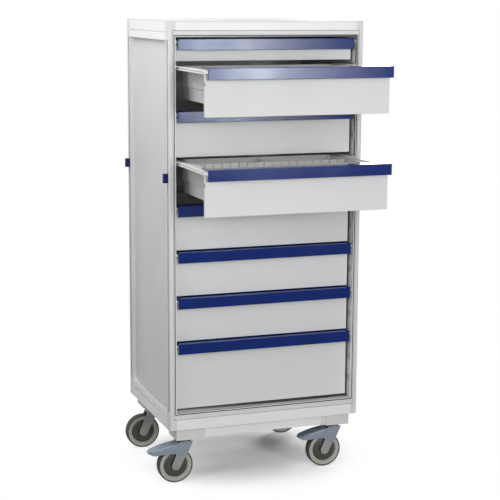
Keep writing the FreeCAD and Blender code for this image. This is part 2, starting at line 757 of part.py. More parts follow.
def make_grip(number, y, top):
    """A strip that stands off the front as a pull, with a tongue at each end of its top."""
    body = new_body("grip_%d" % number, y=y, z=top)
    back = s.front_setback + s.front_return
    wall = s.grip_wall
    sketch = new_sketch(body, "YZ_Plane")
    lip = wall + s.grip_lip
    draw_polygon(sketch, (
        (0, 0), (back, 0), (back, -wall), (wall, -wall), (wall, wall - s.grip_height),
        (lip, wall - s.grip_height), (lip, -s.grip_height), (0, -s.grip_height)))
    strip = pad(body, sketch, rail_outer_x * 2, midplane=True)
    inner = rail_outer_x - s.grip_tongue_width
    sketch = new_sketch(body, "XY_Plane")
    draw_rectangle(sketch, inner, rail_outer_x, back, s.grip_tongue_depth)
    draw_rectangle(sketch, -rail_outer_x, -inner, back, s.grip_tongue_depth)
    strip = pad(body, sketch, wall, backwards=True)

    def at_the_front(edge):
        ends = [vertex.Point for vertex in edge.Vertexes]
        return all(abs(end.y) < 1e-6 for end in ends) and abs(ends[0].z - ends[-1].z) < 1e-6
    fillet(body, strip, wall / 2, at_the_front)
    node("drawer_%d_grip" % number, [body])


def make_front(number, y, top, height):
    """A sheet front, open at the back, with folded edges and a slot in each side edge."""
    body = new_body("front_%d" % number, y=y, z=top)
    sheet = s.front_sheet
    face = s.front_setback
    back = face + s.front_return
    ceiling = -(s.rail_top_drop + s.lug_height)
    cut = s.front_chamfer
    sketch = new_sketch(body, "YZ_Plane")
    draw_polygon(sketch, (
        (face, -height), (back, -height), (back, ceiling), (face + cut, ceiling),
        (face, ceiling - cut)))
    pad(body, sketch, front_end_x * 2, midplane=True)
    sketch = new_sketch(body, "YZ_Plane")
    draw_polygon(sketch, (
        (face + sheet, sheet - height), (back + sheet, sheet - height),
        (back + sheet, ceiling - sheet), (face + sheet + cut, ceiling - sheet),
        (face + sheet, ceiling - sheet - cut)))
    pocket(body, sketch, (front_end_x - sheet) * 2, midplane=True)
    if number > 1:
        sketch = new_sketch(body, "YZ_Plane")
        slot_front = face + s.release_slot_setback
        draw_rectangle(sketch, slot_front, slot_front + s.release_slot_width,
                       -(s.release_slot_drop + s.release_slot_height), -s.release_slot_drop)
        pocket(body, sketch, rail_outer_x * 2, midplane=True)
    node("drawer_%d_front" % number, [body])


def make_rails(number, y, top):
    """A pair of drawer rails: a grooved bar, a ledge for the tray's rim and a lug to the grip."""
    body = new_body("rail_%d" % number, y=y, z=top)
    front = s.front_setback + s.front_return
    outer = rail_outer_x
    inner = outer - s.rail_bar_width
    ledge = inner - s.rail_ledge_width
    bar_top = -s.rail_top_drop
    bar_bottom = bar_top - s.rail_bar_height
    ledge_top = bar_bottom + s.rail_ledge_thickness
    middle = bar_top - s.rail_bar_height / 2
    half_groove = s.tongue_thickness / 2 + s.runner_play
    groove_x = outer - s.rail_groove_depth
    sketch = new_sketch(body, "XZ_Plane", -(front + rail_length))
    draw_polygon(sketch, (
        (outer, bar_top), (inner, bar_top), (inner, ledge_top), (ledge, ledge_top),
        (ledge, bar_bottom), (outer, bar_bottom), (outer, middle - half_groove),
        (groove_x, middle - half_groove), (groove_x, middle + half_groove),
        (outer, middle + half_groove)))
    pad(body, sketch, rail_length)

    lug = outer - s.lug_inset
    sketch = new_sketch(body, "XY_Plane", bar_top)
    draw_rectangle(sketch, lug - s.lug_width, lug, s.grip_wall, front)
    pad(body, sketch, s.lug_height, backwards=True)
    node("drawer_%d_rails" % number, to_both_sides([body]))


def tray_levels(number, front_height):
    """The tray's top, its step and its underside, below the grip's top."""
    rim_top = -s.rail_top_drop - s.rail_bar_height + s.rail_ledge_thickness + s.rim_thickness
    step_height = s.tray_step_height
    if number == 1:
        height = s.shallow_tray_height
        step_height = s.shallow_step_height
    elif number == DRAWER_COUNT:
        height = rim_top + front_height - s.deep_tray_clearance
    else:
        height = s.standard_tray_height
    bottom = rim_top - height
    return rim_top, bottom + step_height, bottom


def tray_middle(y):
    """The tray's middle, front to back."""
    return y + s.front_setback + s.front_return + s.tray_front_gap + s.tray_depth / 2


def make_tray(number, y, top, front_height):
    """A moulded tray: a broad rim, an upper wall, a step and a drafted lower wall."""
    rim_top, step, bottom = tray_levels(number, front_height)
    body = new_body("tray_%d" % number, y=tray_middle(y), z=top)
    half_x = tray_half_x
    half_y = s.tray_depth / 2
    upper_x = half_x - s.rim_width
    upper_y = half_y - s.rim_width
    lower_x = upper_x - s.tray_step
    lower_y = upper_y - s.tray_step
    wall = s.tray_wall

    sketch = new_sketch(body, "XY_Plane", rim_top - s.rim_thickness)
    draw_rounded_rectangle(sketch, half_x, half_y, s.tray_corner)
    pad(body, sketch, s.rim_thickness)
    sketch = new_sketch(body, "XY_Plane", rim_top)
    draw_rounded_rectangle(sketch, upper_x, upper_y, s.tray_corner)
    pad(body, sketch, rim_top - step, backwards=True, draft=-s.tray_draft)
    sketch = new_sketch(body, "XY_Plane", step)
    draw_rounded_rectangle(sketch, lower_x, lower_y, s.tray_corner - s.tray_step)
    pad(body, sketch, step - bottom, backwards=True, draft=-s.tray_draft)

    sketch = new_sketch(body, "XY_Plane", rim_top)
    draw_rounded_rectangle(sketch, upper_x - wall, upper_y - wall, s.tray_corner - wall)
    pocket(body, sketch, rim_top - step - wall, draft=-s.tray_draft)
    sketch = new_sketch(body, "XY_Plane", step)
    draw_rounded_rectangle(sketch, lower_x - wall, lower_y - wall,
                           s.tray_corner - s.tray_step - wall)
    pocket(body, sketch, step - bottom - wall, draft=-s.tray_draft)
    sketch = new_sketch(body, "XY_Plane", step)
    draw_rounded_rectangle(sketch, lower_x - wall, lower_y - wall,
                           s.tray_corner - s.tray_step - wall)
    pocket(body, sketch, wall, backwards=True)
    node("drawer_%d_tray" % number, [body])


def make_dividers(number, y, top, front_height, combed):
    """A lengthwise divider that stands on the tray's floor, and combs across the tray."""
    rim_top, step, bottom = tray_levels(number, front_height)
    floor = bottom + s.tray_wall
    slope = tangent_of(s.tray_draft)
    lower_x = tray_half_x - s.rim_width - s.tray_step - s.tray_wall
    lower_y = s.tray_depth / 2 - s.rim_width - s.tray_step - s.tray_wall
    shrink = (step - floor) * slope
    middle = tray_middle(y)
    half = s.divider_thickness / 2

    lengthwise = new_body("divider_%d" % number, y=middle, z=top)
    sketch = new_sketch(lengthwise, "YZ_Plane")
    draw_polygon(sketch, (
        (shrink - lower_y, floor), (lower_y - shrink, floor), (lower_y, step),
        (lower_y, rim_top - s.divider_drop), (-lower_y, rim_top - s.divider_drop),
        (-lower_y, step)))
    pad(lengthwise, sketch, s.divider_thickness, midplane=True)
    members = [lengthwise]
    if combed:
        for comb_y in (-s.comb_offset, s.comb_pitch - s.comb_offset):
            comb = new_body("comb_%d" % number, y=middle + comb_y, z=top)
            sketch = new_sketch(comb, "XZ_Plane")
            comb_top = rim_top - s.comb_drop
            slot_floor = comb_top - s.comb_slot_depth
            corners = [(half, floor), (lower_x - shrink, floor), (lower_x, step),
                       (lower_x, comb_top)]
            slots = int((lower_x - shrink - s.comb_slot_width).number / s.comb_slot_pitch.number)
            for slot in range(slots, 0, -1):
                centre = s.comb_slot_pitch * slot
                left = centre - s.comb_slot_width / 2
                right = centre + s.comb_slot_width / 2
                corners += [(right, comb_top), (right, slot_floor),
                            (left, slot_floor), (left, comb_top)]
            corners.append((half, comb_top))
            draw_polygon(sketch, corners)
            pad(comb, sketch, s.divider_thickness, midplane=True)
            members += to_both_sides([comb])
    name = "drawer_%d_dividers" if combed else "drawer_%d_divider"
    node(name % number, members)


def make_drawers():
    for number, (top, module, height) in enumerate(module_tops(), start=1):
        y, level = place_of_drawer(number, top)
        make_grip(number, y, level)
        make_front(number, y, level, height)
        make_rails(number, y, level)
        make_tray(number, y, level, height)
        if number in OPEN_DRAWERS:
            make_dividers(number, y, level, height, combed=number == OPEN_DRAWERS[-1])


# ---------------------------------------------------------------- casters

stem_x = half_width - s.plinth_side_inset - s.block_size / 2
stem_y = half_depth - s.plinth_front_inset - s.block_size / 2
leg_outside = s.fork_inside + s.fork_leg * 2
cheek_inside = leg_outside + s.pedal_play * 2


def make_fork(name, x, y, braked):
    """A swivel fork in its own frame at the axle: two legs, a bridge, a head and the axle."""
    body = new_body(name, x=x, y=y, z=axle_z)
    left = s.caster_trail - s.fork_head_half
    right = s.caster_trail + s.fork_head_half
    sketch = new_sketch(body, "XZ_Plane")
    radius = s.fork_end_radius
    r = radius.number
    circle = Part.Circle(Vector(0, 0, 0), Vector(0, 0, 1), r)
    sketch.addGeometry(Part.ArcOfCircle(circle, math.radians(155), math.radians(335)), False)
    start = Vector(r * math.cos(math.radians(335)), r * math.sin(math.radians(335)), 0)
    end = Vector(r * math.cos(math.radians(155)), r * math.sin(math.radians(155)), 0)
    high_right = Vector(right.number, bridge_top.number, 0)
    high_left = Vector(left.number, bridge_top.number, 0)
    for a, b in ((start, high_right), (high_right, high_left), (high_left, end)):
        sketch.addGeometry(Part.LineSegment(a, b), False)
    sketch.addConstraint(Sketcher.Constraint("Coincident", 0, 3, -1, 1))
    sketch.addConstraint(Sketcher.Constraint("Tangent", 0, 2, 1, 1))
    sketch.addConstraint(Sketcher.Constraint("Coincident", 1, 2, 2, 1))
    sketch.addConstraint(Sketcher.Constraint("Coincident", 2, 2, 3, 1))
    sketch.addConstraint(Sketcher.Constraint("Tangent", 3, 2, 0, 1))
    bind(sketch, Sketcher.Constraint("Radius", 0, r), radius)
    fix_point(sketch, 2, 1, right, bridge_top)
    fix_point(sketch, 2, 2, left, bridge_top)
    pad(body, sketch, leg_outside, midplane=True)
    if braked:
        sketch = new_sketch(body, "XZ_Plane")
        draw_circle(sketch, s.pedal_pin_reach, s.pedal_pin_level, s.pedal_pin_radius)
        pad(body, sketch, cheek_inside + s.pedal_pin_depth * 2, midplane=True)

    sketch = new_sketch(body, "XZ_Plane")
    draw_rectangle(sketch, -s.fork_end_radius * 2, right + s.fork_end_radius,
                   -s.fork_end_radius * 2, bridge_bottom)
    pocket(body, sketch, s.fork_inside, midplane=True)

    sketch = new_sketch(body, "XY_Plane", bridge_bottom)
    draw_circle(sketch, s.caster_trail, 0, s.head_radius)
    pad(body, sketch, head_top - bridge_bottom)
    sketch = new_sketch(body, "XY_Plane", head_top)
    draw_circle(sketch, s.caster_trail, 0, s.stem_radius + s.stem_play)
    pocket(body, sketch, s.stem_length + s.head_play)

    sketch = new_sketch(body, "XZ_Plane")
    draw_circle(sketch, 0, 0, s.axle_radius)
    pad(body, sketch, leg_outside, midplane=True)
    node(name, [body])


def revolve_about_axle(body, corners):
    """Turn a closed outline of (distance along the axle, radius) about the axle."""
    sketch = new_sketch(body, "YZ_Plane")
    draw_polygon(sketch, corners)
    turned = body.newObject("PartDesign::Revolution", body.Name + "_turned")
    turned.Profile = sketch
    turned.ReferenceAxis = (sketch, ["H_Axis"])
    turned.Angle = 360
    return turned


def make_wheel(name, x, y):
    """A core of rim, flanges, hub covers and bored hub, and the tyre held between the flanges."""
    tread = s.wheel_diameter / 2
    half_tyre = s.tyre_width / 2
    half_root = s.tyre_root_width / 2
    half_flange = s.flange_width / 2
    half_cover = s.cover_width / 2
    half_hub = s.fork_inside / 2 - s.head_play
    shoulder = s.tyre_shoulder

    core = new_body(name + "_core", x=x, y=y, z=axle_z)
    bore = s.axle_radius + s.axle_play
    revolve_about_axle(core, (
        (-half_hub, bore), (half_hub, bore), (half_hub, s.hub_radius), (half_cover, s.hub_radius),
        (half_cover, s.cover_radius), (half_flange, s.cover_radius), (half_flange, s.flange_radius),
        (half_root, s.flange_radius), (half_root, s.tyre_root_radius),
        (-half_root, s.tyre_root_radius), (-half_root, s.flange_radius),
        (-half_flange, s.flange_radius), (-half_flange, s.cover_radius),
        (-half_cover, s.cover_radius), (-half_cover, s.hub_radius), (-half_hub, s.hub_radius)))
    node(name + "_core", [core])

    tyre = new_body(name + "_tyre", x=x, y=y, z=axle_z)
    revolve_about_axle(tyre, (
        (-half_root, s.tyre_root_radius), (half_root, s.tyre_root_radius),
        (half_root, s.flange_radius), (half_tyre, s.flange_radius),
        (half_tyre, tread - shoulder / 2), (half_tyre - shoulder / 2, tread - shoulder / 8),
        (half_tyre - shoulder, tread), (shoulder - half_tyre, tread),
        (shoulder / 2 - half_tyre, tread - shoulder / 8), (-half_tyre, tread - shoulder / 2),
        (-half_tyre, s.flange_radius), (-half_root, s.flange_radius)))
    node(name + "_tyre", [tyre])


def draw_arc(sketch, tail, head, radius):
    """An arc that bulges upward between two fixed points, as the sketch's first geometry."""
    a = Vector(tail[0].number, tail[1].number, 0)
    b = Vector(head[0].number, head[1].number, 0)
    chord = b - a
    rise = radius.number - math.sqrt(radius.number ** 2 - chord.Length ** 2 / 4)
    normal = Vector(-chord.y, chord.x, 0).normalize()
    sketch.addGeometry(Part.Arc(a, (a + b) / 2 + normal * rise, b), False)
    ends = (1, 2)
    if (sketch.getPoint(0, 1) - a).Length > (sketch.getPoint(0, 2) - a).Length:
        ends = (2, 1)
    for point, spot in zip(ends, (tail, head)):
        fix_point(sketch, 0, point, *spot)
    bind(sketch, Sketcher.Constraint("Radius", 0, radius.number), radius)
    return ends


def close_arc(sketch, ends, corners):
    """Straight lines from the arc's head through the corners back to its tail."""
    tail_point, head_point = ends
    spots = [Vector(u.number, v.number, 0) for u, v in corners]
    spots = [sketch.getPoint(0, head_point)] + spots + [sketch.getPoint(0, tail_point)]
    for start, end in zip(spots, spots[1:]):
        sketch.addGeometry(Part.LineSegment(start, end), False)
    sketch.addConstraint(Sketcher.Constraint("Coincident", 1, 1, 0, head_point))
    for index, (u, v) in enumerate(corners, start=1):
        sketch.addConstraint(Sketcher.Constraint("Coincident", index, 2, index + 1, 1))
        fix_point(sketch, index, 2, u, v)
    last = len(corners) + 1
    sketch.addConstraint(Sketcher.Constraint("Coincident", last, 2, 0, tail_point))


def make_brake_pedal(name, x, y):
    """A pedal that straddles the fork: two cheeks with ears, a curved back and a solid toe."""
    body = new_body(name, x=x, y=y, z=axle_z)
    outside = cheek_inside + s.pedal_cheek * 2
    end = s.pedal_back_end
    top = bridge_top + s.pedal_top_rise
    web = s.pedal_web

    sketch = new_sketch(body, "XZ_Plane")
    arc_ends = draw_arc(sketch, (-s.pedal_tip_reach, s.pedal_tip_level),
                        (end, s.pedal_back_level), s.pedal_back_radius)
    close_arc(sketch, arc_ends, (
        (s.pedal_ear_start, top), (s.pedal_heel_reach, top),
        (s.pedal_heel_foot, s.pedal_belly_level), (s.pedal_heel_foot, s.pedal_foot_level),
        (s.pedal_foot_reach, s.pedal_foot_level), (-s.pedal_belly_end, s.pedal_belly_level),
        (-s.pedal_waist, s.pedal_belly_level), (-s.pedal_toe_end, s.pedal_toe_floor),
        (-s.pedal_toe_reach, s.pedal_toe_level),
        (-s.pedal_tip_reach, s.pedal_tip_level - s.pedal_tip_thickness)))
    block = pad(body, sketch, outside, midplane=True)

    def runs_along_the_back(edge):
        return not isinstance(edge.Curve, Part.Line)
    fillet(body, block, s.pedal_back_round, runs_along_the_back)

    sketch = new_sketch(body, "XZ_Plane")
    toe = -s.pedal_toe_end
    arc_ends = draw_arc(sketch, (toe, s.pedal_tip_level + web),
                        (end, s.pedal_back_level - web), s.pedal_back_radius)
    close_arc(sketch, arc_ends, (
        (end + web, top + web), (s.pedal_heel_reach + web, top + web),
        (s.pedal_heel_reach + web, s.pedal_foot_level - web), (toe, s.pedal_foot_level - web)))
    pocket(body, sketch, cheek_inside, midplane=True)

    sketch = new_sketch(body, "XY_Plane")
    half_toe = s.pedal_toe_width / 2
    half_tip = s.pedal_tip_width / 2
    far = s.pedal_tip_reach + web
    for side in (1, -1):
        draw_polygon(sketch, (
            (-s.pedal_waist, outside / 2 * side), (-s.pedal_waist, outside * side),
            (-far, outside * side), (-far, half_tip * side),
            (-s.pedal_tip_reach, half_tip * side), (-s.pedal_toe_reach, half_toe * side)))
    pocket(body, sketch, top * 2, backwards=True)

    sketch = new_sketch(body, "XZ_Plane")
    draw_circle(sketch, s.pedal_pin_reach, s.pedal_pin_level, s.pedal_pin_radius + s.pedal_pin_play)
    pocket(body, sketch, cheek_inside + (s.pedal_pin_depth + s.pedal_play) * 2, midplane=True)
    node(name, [body])


def make_casters():
    """Four swivel casters that trail to the left; the front two have brake pedals."""
    for side, x in (("left", -stem_x), ("right", stem_x)):
        for end, y in (("front", -stem_y), ("rear", stem_y)):
            name = "caster_%s_%s" % (end, side)
            braked = end == "front"
            make_fork(name + "_fork", x - s.caster_trail, y, braked)
            make_wheel(name, x - s.caster_trail, y)
            if braked:
                make_brake_pedal("brake_pedal_%s" % side, x - s.caster_trail, y)


# ---------------------------------------------------------------- build, check and write

def check_document():
    """Stop on any object that failed, and on any sub-part without a good solid."""
    doc.recompute()
    for item in doc.Objects:
        if "Invalid" in item.State or "Error" in item.State:
            raise RuntimeError("%s failed: %s" % (item.Label, item.State))
    for piece in nodes:
        shape = piece.Shape
        if shape.isNull() or not shape.isValid() or not shape.Solids:
            raise RuntimeError("%s has no valid solid" % piece.Label)


make_corner_posts()
make_corner_connectors()
make_frame_rails()
make_panels()
make_front_bezel()
make_accessory_clips()
make_plinth()
make_runner_tracks()
make_drawers()
make_casters()
check_document()
for piece in nodes:
    piece.Shape.exportStep(os.path.join(OUT_DIR, piece.Label + ".step"))
print("wrote %d sub-parts, %d solids" % (len(nodes), sum(len(n.Shape.Solids) for n in nodes)))
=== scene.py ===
"""Looks of the drawer trolley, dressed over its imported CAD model, in metres."""
import json
import math

import bmesh
import bpy
from mathutils import Matrix, Vector


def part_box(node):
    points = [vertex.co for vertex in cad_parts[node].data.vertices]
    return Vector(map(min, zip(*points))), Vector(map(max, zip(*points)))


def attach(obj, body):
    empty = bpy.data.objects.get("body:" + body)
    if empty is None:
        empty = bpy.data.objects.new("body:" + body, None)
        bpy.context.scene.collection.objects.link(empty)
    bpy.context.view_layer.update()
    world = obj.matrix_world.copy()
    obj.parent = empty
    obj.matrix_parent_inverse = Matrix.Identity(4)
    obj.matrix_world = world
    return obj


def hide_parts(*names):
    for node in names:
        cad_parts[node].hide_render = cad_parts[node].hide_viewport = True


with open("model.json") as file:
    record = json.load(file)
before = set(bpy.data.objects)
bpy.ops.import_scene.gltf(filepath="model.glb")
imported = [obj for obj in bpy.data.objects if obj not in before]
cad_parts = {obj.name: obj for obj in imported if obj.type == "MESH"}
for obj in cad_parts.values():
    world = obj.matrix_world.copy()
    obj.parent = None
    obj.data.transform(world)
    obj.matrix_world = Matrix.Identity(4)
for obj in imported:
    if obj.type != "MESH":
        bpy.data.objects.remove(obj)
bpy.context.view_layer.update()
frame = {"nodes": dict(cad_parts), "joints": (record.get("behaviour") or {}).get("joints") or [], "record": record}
nodes = frame["nodes"]
SLOT_OF_NODE = {entry["node"]: entry["material_slot"] for entry in frame["record"]["subparts"]}
PIVOT = {joint["child"]: Vector(joint["pos_m"]) for joint in frame["joints"] if "pos_m" in joint}
DRAWERS = range(1, 9)
WHITE = (1, 1, 1)


def add_node(tree, kind, **settings):
    node = tree.nodes.new(kind)
    for name, value in settings.items():
        setattr(node, name, value)
    return node


# ---------------------------------------------------------------- materials

class Recipe:
    """A Principled material that is put together node by node."""

    def __init__(self, name, color, metallic=0.0, specular=0.5):
        self.material = bpy.data.materials.new(name)
        self.material.use_nodes = True
        self.tree = self.material.node_tree
        self.shader = self.tree.nodes["Principled BSDF"]
        self.color = color
        self.shader.inputs["Metallic"].default_value = metallic
        self.shader.inputs["Specular IOR Level"].default_value = specular
        self.place = self.add("ShaderNodeTexCoord").outputs["Object"]

    def add(self, kind, **settings):
        return add_node(self.tree, kind, **settings)

    def link(self, source, target):
        self.tree.links.new(source, target)

    def noise(self, scale, detail=2.0, stretch=(1, 1, 1)):
        """A noise value over the piece; scale is in features per metre."""
        mapping = self.add("ShaderNodeMapping")
        mapping.inputs["Scale"].default_value = stretch
        self.link(self.place, mapping.inputs["Vector"])
        texture = self.add("ShaderNodeTexNoise")
        texture.inputs["Scale"].default_value = scale
        texture.inputs["Detail"].default_value = detail
        self.link(mapping.outputs["Vector"], texture.inputs["Vector"])
        return texture.outputs["Fac"]

    def span(self, noise, low, high):
        """The middle stretch of a noise value carried to another span."""
        node = self.add("ShaderNodeMapRange")
        for socket, number in (("From Min", 0.3), ("From Max", 0.7),
                               ("To Min", low), ("To Max", high)):
            node.inputs[socket].default_value = number
        self.link(noise, node.inputs["Value"])
        return node.outputs["Result"]

    def calculate(self, operation, first, second=0.0):
        """The result of one sum on two sockets or numbers."""
        node = self.add("ShaderNodeMath", operation=operation)
        for socket, value in zip(node.inputs, (first, second)):
            if isinstance(value, float):
                socket.default_value = value
            else:
                self.link(value, socket)
        return node.outputs["Value"]

    def mix(self, factor, first, second):
        """One of two colours or sockets where the factor is 0, and the other where it is 1."""
        node = self.add("ShaderNodeMix", data_type="RGBA")
        self.link(factor, node.inputs["Factor"])
        for socket, value in ((node.inputs["A"], first), (node.inputs["B"], second)):
            if isinstance(value, tuple):
                socket.default_value = (*value, 1)
            else:
                self.link(value, socket)
        return node.outputs["Result"]

    def tint(self, noise, darker, lighter):
        """The base colour, a little darker or lighter with the noise."""
        low = tuple(min(1.0, channel * darker) for channel in self.color)
        high = tuple(min(1.0, channel * lighter) for channel in self.color)
        mixed = self.mix(self.span(noise, 0, 1), low, high)
        self.link(mixed, self.shader.inputs["Base Color"])
        return mixed

    def vary_roughness(self, noise, low, high):
        self.link(self.span(noise, low, high), self.shader.inputs["Roughness"])

    def bump(self, height, distance, strength):
        node = self.add("ShaderNodeBump")
        node.inputs["Strength"].default_value = strength
        node.inputs["Distance"].default_value = distance
        self.link(height, node.inputs["Height"])
        self.link(node.outputs["Normal"], self.shader.inputs["Normal"])

    def coat(self, roughness):
        """A faint orange peel, and patches a little duller than the rest; gives the colour."""
        tinted = self.tint(self.noise(2.3, detail=3), darker=0.975, lighter=1.02)
        self.vary_roughness(self.noise(6, detail=3), roughness - 0.05, roughness + 0.07)
        self.bump(self.noise(650), distance=0.00012, strength=0.5)
        return tinted


def powder_coat(name, color, roughness=0.42, specular=0.4):
    """Powder coating on its own, with no edging."""
    recipe = Recipe(name, color, specular=specular)
    recipe.coat(roughness)
    return recipe.material


def edged_coat(name, color, opening, bead, groove):
    """Powder coating with painted light round an opening: a painted highlight in white on the bead, and painted
    shade in black in the groove beside it.

    The opening is its middle height and half its width and height, in metres.
    """
    middle, half_width, half_height = opening
    recipe = Recipe(name, color, specular=0.4)
    coated = recipe.coat(0.41)
    parts = recipe.add("ShaderNodeSeparateXYZ")
    recipe.link(recipe.place, parts.inputs["Vector"])
    across = recipe.calculate("ABSOLUTE", parts.outputs["X"])
    level = recipe.calculate("ABSOLUTE", recipe.calculate("SUBTRACT", parts.outputs["Z"], middle))
    beside = recipe.calculate("SUBTRACT", across, half_width)
    above = recipe.calculate("SUBTRACT", level, half_height)
    reach = recipe.calculate("MAXIMUM", beside, above)
    in_groove = recipe.calculate("LESS_THAN", reach, bead + groove)
    on_bead = recipe.calculate("LESS_THAN", reach, bead)
    # Painted shade: the groove round the opening is coloured black.
    groove_shaded = recipe.mix(in_groove, coated, GROOVE_SHADE_BLACK)
    # Painted highlight: the bead round the opening is coloured white.
    edged = recipe.mix(on_bead, groove_shaded, BEAD_HIGHLIGHT_WHITE)
    recipe.link(edged, recipe.shader.inputs["Base Color"])
    return recipe.material


def moulded_plastic(name, color, roughness=0.5, grain=900, depth=0.00008, specular=0.45):
    """Moulded plastic with a spark-eroded grain, in grains per metre, and slight flow marks."""
    recipe = Recipe(name, color, specular=specular)
    recipe.tint(recipe.noise(9, detail=3, stretch=(1, 1, 2.5)), darker=0.95, lighter=1.04)
    recipe.vary_roughness(recipe.noise(40), roughness - 0.06, roughness + 0.08)
    recipe.bump(recipe.noise(grain), depth, strength=0.5)
    return recipe.material


def drawn_metal(name, color, roughness, metallic, stretch):
    """Metal with fine lines along its drawn length."""
    recipe = Recipe(name, color, metallic=metallic)
    lines = recipe.noise(260, detail=3, stretch=stretch)
    recipe.tint(recipe.noise(12), darker=0.94, lighter=1.05)
    recipe.vary_roughness(lines, roughness - 0.08, roughness + 0.1)
    recipe.bump(lines, distance=0.00005, strength=0.4)
    return recipe.material


# Colours of painted light on the bezel: black for the shade in its groove, white for the highlight on its bead.
GROOVE_SHADE_BLACK = (0.012, 0.012, 0.012)
BEAD_HIGHLIGHT_WHITE = (0.92, 0.92, 0.91)
MATERIALS = {
    "profile": powder_coat("coated_profile", (0.70, 0.71, 0.70)),
    "panel": powder_coat("coated_panel", (0.69, 0.70, 0.69)),
    "drawer_front": powder_coat("coated_front", (0.71, 0.72, 0.71)),
    "drawer_rail": powder_coat("coated_rail", (0.86, 0.86, 0.855), 0.35),
    "track": drawn_metal("drawn_track", (0.55, 0.55, 0.53), 0.45, 0.6, (1, 0.02, 1)),
    "grip": powder_coat("blue_grip", (0.001, 0.019, 0.155), 0.14, 0.12),
    "tray": moulded_plastic("tray_plastic", (0.60, 0.60, 0.59)),
    "divider": moulded_plastic("divider_plastic", (0.66, 0.66, 0.63)),
    "clip": moulded_plastic("clip_plastic", (0.004, 0.012, 0.10), 0.4, specular=0.2),
    "corner_block": moulded_plastic("block_plastic", (0.70, 0.71, 0.70)),
    "fork_steel": drawn_metal("plated_steel", (0.23, 0.23, 0.235), 0.42, 0.7, (1, 1, 0.1)),
    "wheel_core": moulded_plastic("rim_plastic", (0.47, 0.46, 0.415)),
    "tyre": moulded_plastic("tyre_rubber", (0.06, 0.06, 0.052), 0.75, 500, 0.0002),
    "pedal": moulded_plastic("pedal_plastic", (0.25, 0.30, 0.36), 0.24, 60, 0.0009),
}
COVER_PLASTIC = moulded_plastic("cover_plastic", (0.035, 0.032, 0.022), 0.3)
# Painted shade: near black plugs that fill the slots in the drawer fronts' folded sides.
SLOT_SHADE_BLACK = moulded_plastic("slot_shade_plastic", (0.010, 0.010, 0.010))
BEZEL_COAT = edged_coat("bezel_coat", (0.70, 0.71, 0.70), opening=(0.904, 0.326, 0.643),
                        bead=0.003, groove=0.003)


# ---------------------------------------------------------------- dressing the CAD nodes

def paint(piece, material):
    piece.data.materials.clear()
    piece.data.materials.append(material)


def crease_group(limit):
    """Nodes that mark as sharp each edge that turns by more than the limit."""
    tree = bpy.data.node_groups.new("crease", "GeometryNodeTree")
    for way in ("INPUT", "OUTPUT"):
        tree.interface.new_socket("Geometry", in_out=way, socket_type="NodeSocketGeometry")
    before = add_node(tree, "NodeGroupInput")
    after = add_node(tree, "NodeGroupOutput")
    turn = add_node(tree, "GeometryNodeInputMeshEdgeAngle")
    gentle = add_node(tree, "FunctionNodeCompare", operation="LESS_THAN")
    gentle.inputs["B"].default_value = limit
    smooth = add_node(tree, "GeometryNodeSetShadeSmooth", domain="EDGE")
    tree.links.new(turn.outputs["Unsigned Angle"], gentle.inputs["A"])
    tree.links.new(gentle.outputs["Result"], smooth.inputs["Shade Smooth"])
    tree.links.new(before.outputs["Geometry"], smooth.inputs["Geometry"])
    tree.links.new(smooth.outputs["Geometry"], after.inputs["Geometry"])
    return tree


CREASE = crease_group(math.radians(50))


def join_facets(piece):
    """Turn a solid's separate triangles into whole faces that share their edges."""
    if "custom_normal" in piece.data.attributes:
        piece.data.attributes.remove(piece.data.attributes["custom_normal"])
    weld = piece.modifiers.new("weld", "WELD")
    weld.merge_threshold = 1e-6
    flat = piece.modifiers.new("flat", "DECIMATE")
    flat.decimate_type = "DISSOLVE"
    flat.angle_limit = math.radians(0.5)


def round_edges(piece, width, segments=2, angle=30):
    """Small rounded edges, with level shading on the flats beside them."""
    edge = piece.modifiers.new("edge", "BEVEL")
    edge.width = width
    edge.segments = segments
    edge.limit_method = "ANGLE"
    edge.angle_limit = math.radians(angle)
    crease = piece.modifiers.new("crease", "NODES")
    crease.node_group = CREASE
    level = piece.modifiers.new("level", "WEIGHTED_NORMAL")
    level.mode = "FACE_AREA"
    level.weight = 100
    level.keep_sharp = True
    for polygon in piece.data.polygons:
        polygon.use_smooth = True


EDGE_WIDTH = {
    "profile": 0.0009, "panel": 0.0006, "drawer_front": 0.0009, "drawer_rail": 0.0005,
    "track": 0.0004, "grip": 0.0014, "tray": 0.0014, "divider": 0.0004, "clip": 0.0008,
    "corner_block": 0.0012, "fork_steel": 0.0008, "wheel_core": 0.0006, "tyre": 0.0008,
    "pedal": 0.0010,
}
for name, piece in nodes.items():
    slot = SLOT_OF_NODE[name]
    paint(piece, MATERIALS[slot])
    join_facets(piece)
    round_edges(piece, EDGE_WIDTH[slot])
paint(nodes["front_bezel"], BEZEL_COAT)


# ---------------------------------------------------------------- new pieces

def add_piece(name, mesh, body, slot, material=None, replaced=None):
    """Put a new mesh on a body, in the finish of a slot, in a CAD node's stead if it has one."""
    piece = bpy.data.objects.new(name, mesh)
    bpy.context.scene.collection.objects.link(piece)
    paint(piece, material or MATERIALS[slot])
    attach(piece, body)
    if replaced:
        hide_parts(replaced)
    return piece


def finish_mesh(name, sketch):
    """A mesh from the sketch, with its faces turned outward."""
    bmesh.ops.recalc_face_normals(sketch, faces=sketch.faces)
    mesh = bpy.data.meshes.new(name)
    sketch.to_mesh(mesh)
    sketch.free()
    return mesh


